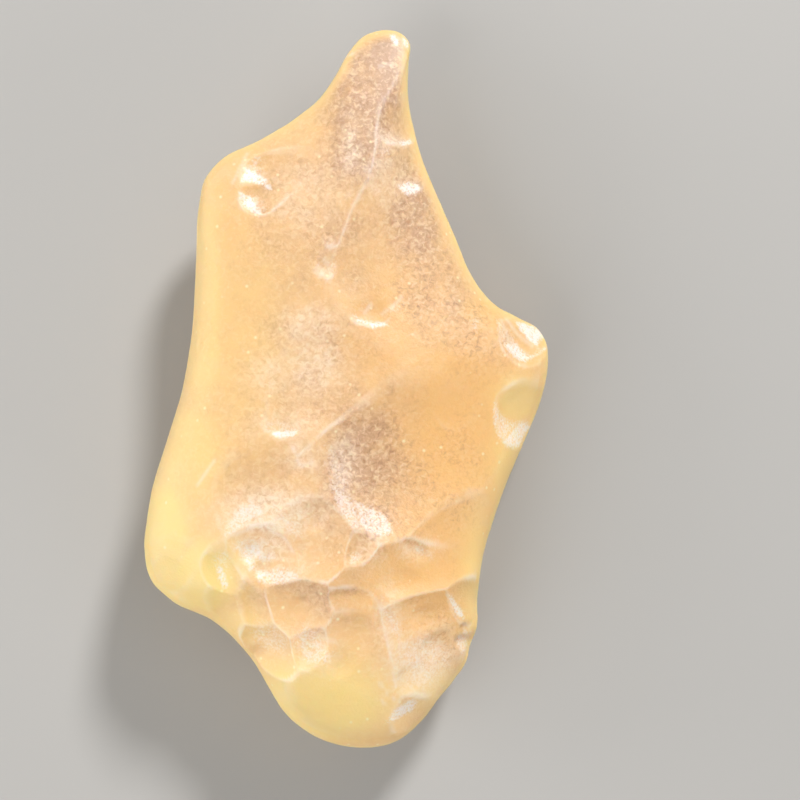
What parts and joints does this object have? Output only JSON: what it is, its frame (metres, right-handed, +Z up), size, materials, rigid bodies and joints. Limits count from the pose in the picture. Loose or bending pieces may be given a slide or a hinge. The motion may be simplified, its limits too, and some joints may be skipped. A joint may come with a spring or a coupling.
{
  "type": "libyan desert glass",
  "caption": "Flat wind-worn shard of pale honey natural glass with a blunt horn, a shoulder, a round lobe and shell-shaped flake scars on its upper face.",
  "frame": {"origin": "on the small worn flat of the back face, where the stone lies on a surface, under its middle", "axes": "+Z up out of the front face, +Y along the stone from the rounded foot to the tip of the horn, +X across it to the shoulder"},
  "size_m": [0.0296, 0.0526, 0.0121],
  "materials": {
    "desert_glass": "wind-worn and frosted, milky and translucent, pale honey yellow with hazy grey clouds"
  },
  "bodies": {
    "root": {"desert_glass": "desert_glass"}
  },
  "joints": []
}
